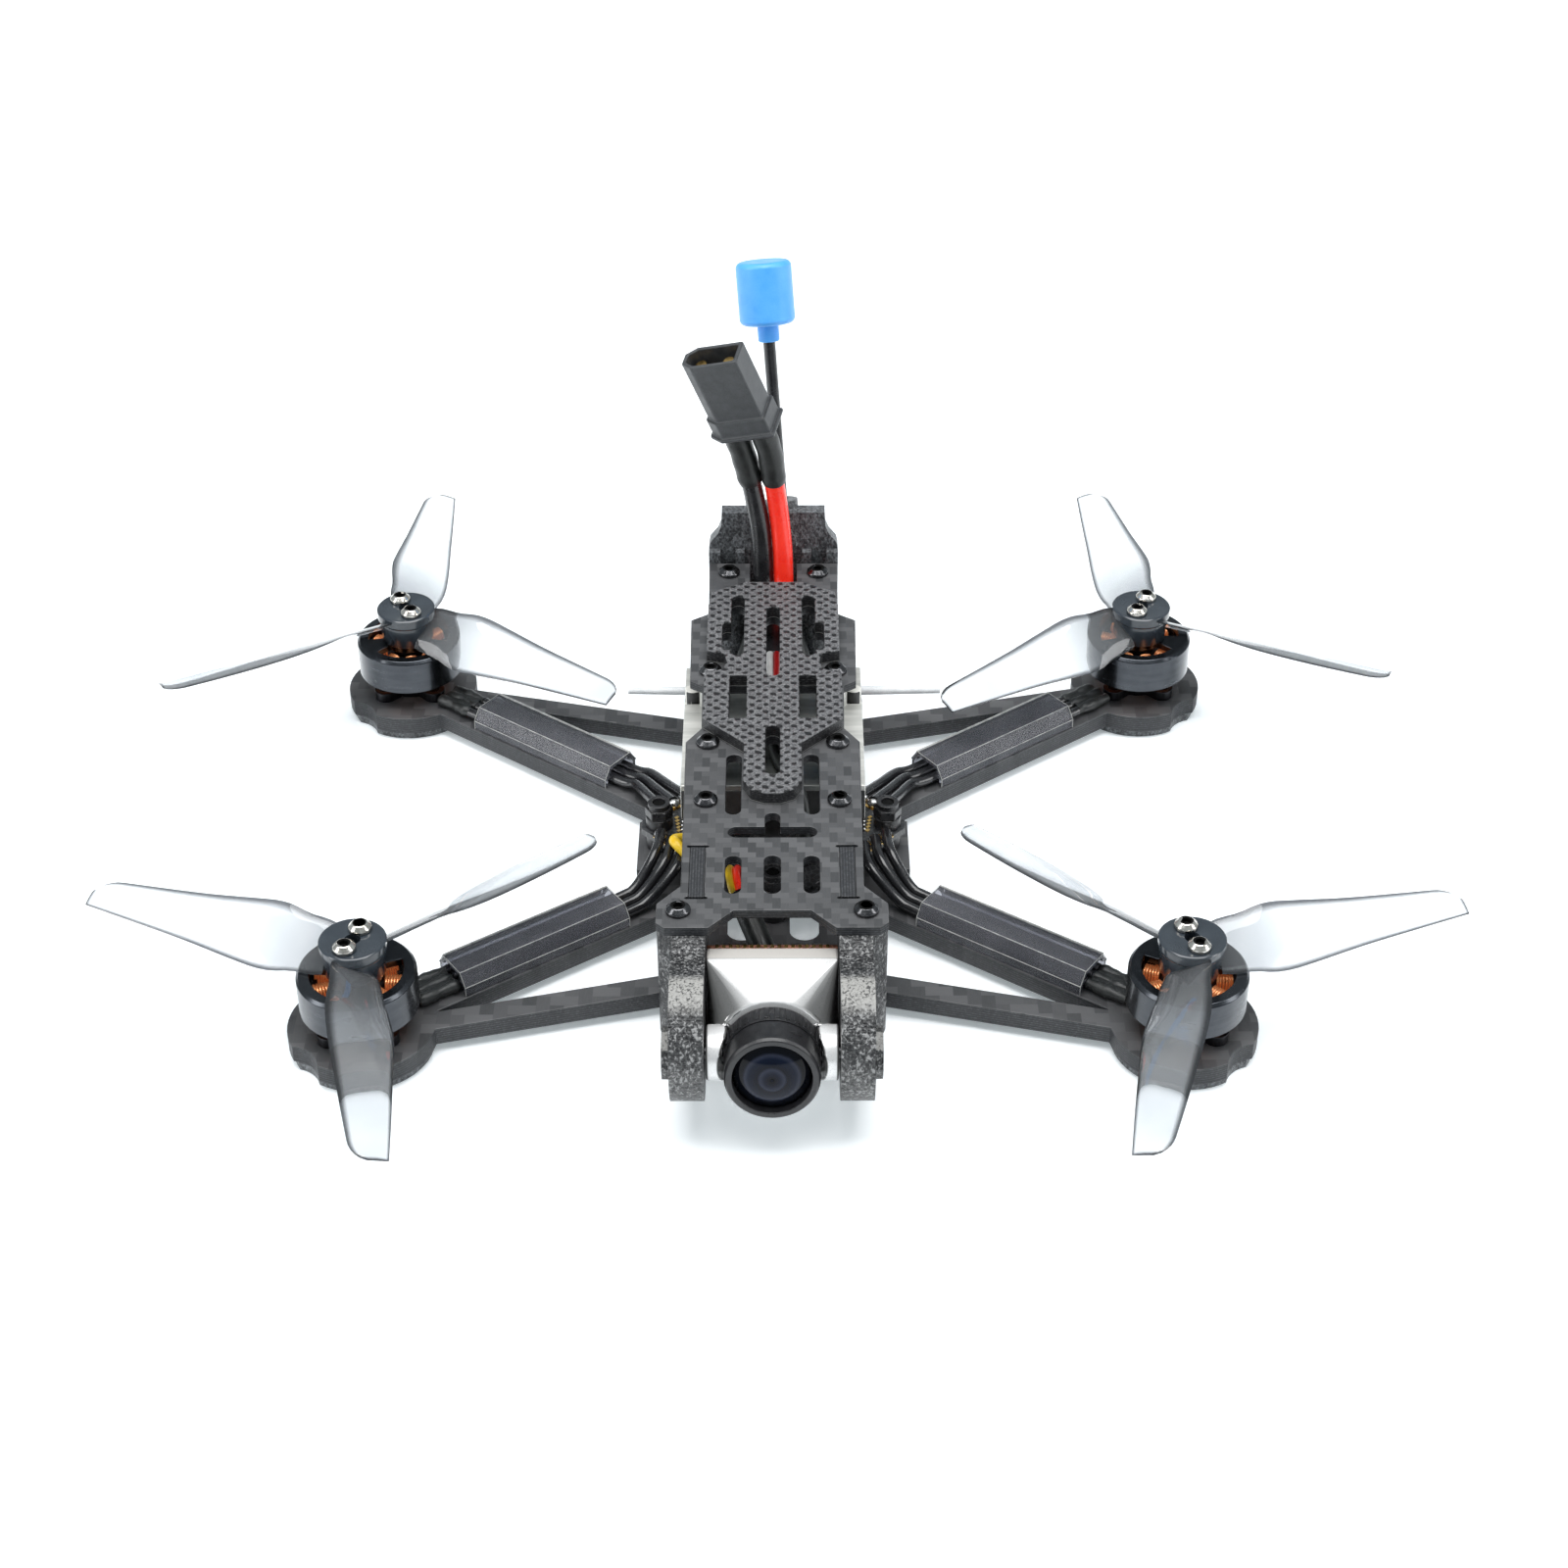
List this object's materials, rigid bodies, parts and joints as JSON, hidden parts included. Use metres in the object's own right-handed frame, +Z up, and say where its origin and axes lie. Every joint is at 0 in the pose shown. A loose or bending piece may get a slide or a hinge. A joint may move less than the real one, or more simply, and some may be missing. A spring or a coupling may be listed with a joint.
{
  "type": "fpv racing drone",
  "caption": "Small racing drone: carbon frame with braced arms, brushless motors that spin three-blade propellers, a tilting camera, and a battery lead with connector.",
  "frame": {"origin": "middle of the footprint at the lowest face, under the centre of the frame", "axes": "+Z up; the camera end points along -Y; +X to the right of somebody who looks at the camera end"},
  "size_m": [0.209, 0.1788, 0.0761],
  "materials": {
    "carbon_fibre": "woven carbon fibre laminate, satin, ground edges",
    "black_rubber": "matt black rubber with a moulded knurl",
    "printed_tpu": "3-D printed flexible plastic, fine layer texture",
    "black_screw": "black chrome steel",
    "dark_screw": "blackened steel, satin",
    "nickel_screw": "warm nickel plate",
    "black_aluminium": "black anodised",
    "black_board": "black solder mask with gold pads",
    "black_chip": "moulded black epoxy",
    "black_nylon": "moulded nylon",
    "connector_steel": "tinned sheet steel",
    "button_cap": "moulded button cap",
    "case_aluminium": "pale satin aluminium",
    "green_board": "green solder mask",
    "blue_board": "blue solder mask",
    "white_sleeve": "pale heat-shrink",
    "black_cable": "black cable jacket",
    "blue_plastic": "bright blue moulded plastic",
    "capacitor_sleeve": "dark plastic film",
    "red_silicone": "red silicone insulation",
    "black_silicone": "black silicone insulation",
    "heat_shrink": "black heat-shrink",
    "connector_nylon": "dark grey moulded nylon",
    "gold_contact": "gold-plated contact",
    "yellow_wire": "thin coloured wires",
    "white_wire": "thin pale wires",
    "bearing_steel": "ground steel",
    "stator_steel": "coated steel laminations",
    "copper_wire": "enamelled copper",
    "clear_cover": "smoky clear plastic",
    "camera_silver": "satin silver",
    "brown_board": "brown laminate edge",
    "lens_black": "black anodised, satin",
    "lens_glass": "coated lens glass",
    "bell_black": "gloss black anodised",
    "prop_smoke": "smoky translucent polycarbonate"
  },
  "bodies": {
    "root": {"arm_plate": "carbon_fibre", "foot_pads": "printed_tpu", "top_plate": "carbon_fibre", "side_plates": "carbon_fibre", "standoffs": "black_aluminium", "top_screws": "black_screw", "bottom_screws": "black_screw", "battery_pad": "black_rubber", "camera_mount_left": "printed_tpu", "camera_mount_right": "printed_tpu", "flight_controller": "black_board", "fc_components": "black_chip", "usb_port": "connector_steel", "stack_dampers": "black_rubber", "stack_screws": "dark_screw", "stack_nuts": "black_nylon", "vtx_case": "case_aluminium", "vtx_lid": "case_aluminium", "vtx_board": "green_board", "vtx_screws": "dark_screw", "receiver": "blue_board", "receiver_antenna": "white_sleeve", "antenna_stem": "black_cable", "antenna_head": "blue_plastic", "rear_mount": "printed_tpu", "capacitor": "capacitor_sleeve", "lead_red": "red_silicone", "lead_black": "black_silicone", "lead_sleeves": "heat_shrink", "connector_shell": "connector_nylon", "connector_pins": "gold_contact", "camera_cable": "yellow_wire", "vtx_cable": "white_wire", "motor_bases": "black_aluminium", "bearings": "bearing_steel", "stators": "stator_steel", "windings": "copper_wire", "motor_screws": "dark_screw", "motor_wires": "black_cable", "wire_sleeves": "heat_shrink", "arm_covers": "clear_cover"},
    "camera": {"camera_body": "camera_silver", "camera_board": "brown_board", "lens_barrel": "lens_black", "lens_ring": "lens_black", "lens_glass": "lens_glass", "camera_screws": "dark_screw"},
    "boot_button": {"boot_button": "button_cap"},
    "rotor_front_left": {"bell_front_left": "bell_black", "prop_front_left": "prop_smoke", "prop_screws_front_left": "nickel_screw"},
    "rotor_front_right": {"bell_front_right": "bell_black", "prop_front_right": "prop_smoke", "prop_screws_front_right": "nickel_screw"},
    "rotor_rear_left": {"bell_rear_left": "bell_black", "prop_rear_left": "prop_smoke", "prop_screws_rear_left": "nickel_screw"},
    "rotor_rear_right": {"bell_rear_right": "bell_black", "prop_rear_right": "prop_smoke", "prop_screws_rear_right": "nickel_screw"}
  },
  "joints": [
    {"name": "spin_front_left", "type": "hinge", "parent": "root", "child": "rotor_front_left", "pos_m": [-0.0614, -0.0457, 0.0146], "axis": [0, 0, 1], "continuous": true},
    {"name": "spin_front_right", "type": "hinge", "parent": "root", "child": "rotor_front_right", "pos_m": [0.0614, -0.0457, 0.0146], "axis": [0, 0, 1], "continuous": true},
    {"name": "spin_rear_left", "type": "hinge", "parent": "root", "child": "rotor_rear_left", "pos_m": [-0.0639, 0.0457, 0.0146], "axis": [0, 0, 1], "continuous": true},
    {"name": "spin_rear_right", "type": "hinge", "parent": "root", "child": "rotor_rear_right", "pos_m": [0.0639, 0.0457, 0.0146], "axis": [0, 0, 1], "continuous": true},
    {"name": "camera_tilt", "type": "hinge", "parent": "root", "child": "camera", "pos_m": [0, -0.0635, 0.014], "axis": [-1, 0, 0], "range_deg": [-6.7, 13.3]},
    {"name": "boot_press", "type": "slide", "parent": "root", "child": "boot_button", "axis": [0, 0, -1], "range_m": [0, 0.00025], "stiffness_N_per_m": 800, "springref_m": -0.0003}
  ]
}
